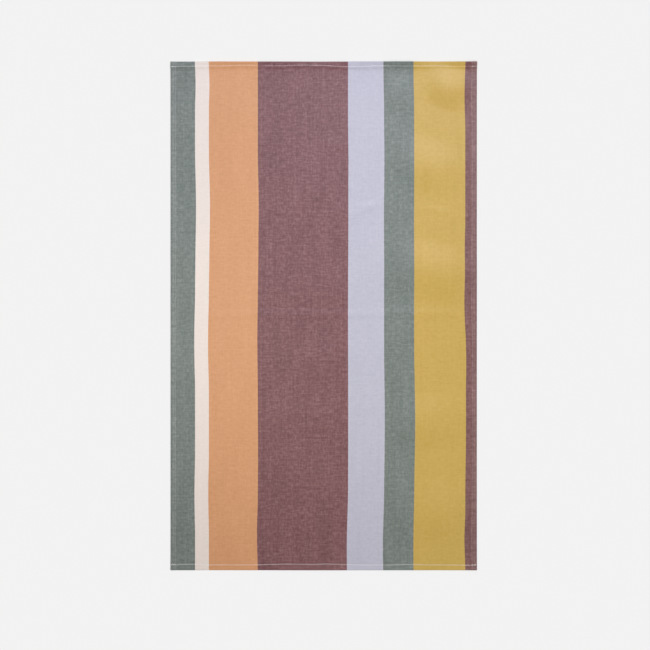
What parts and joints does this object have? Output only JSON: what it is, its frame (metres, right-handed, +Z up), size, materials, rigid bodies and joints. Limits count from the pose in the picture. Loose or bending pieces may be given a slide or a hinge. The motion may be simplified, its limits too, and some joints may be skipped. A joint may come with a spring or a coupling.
{
  "type": "tea towel",
  "caption": "Flat woven cotton tea towel with lengthwise block stripes, turned hems at its short ends and tucked selvedges down its long sides.",
  "frame": {"origin": "middle of the underside, on the surface the towel lies on", "axes": "+X across the width, from the sage edge to the narrow plum edge; +Y along the length, towards the narrower hem; +Z up, out of the face"},
  "size_m": [0.45, 0.7476, 0.0021],
  "materials": {
    "striped_cotton": "matt plain-woven cotton, yarn-dyed warp stripes in sage, cream, apricot, plum, lavender and mustard over a pale weft"
  },
  "bodies": {
    "root": {"towel": "striped_cotton"}
  },
  "joints": []
}
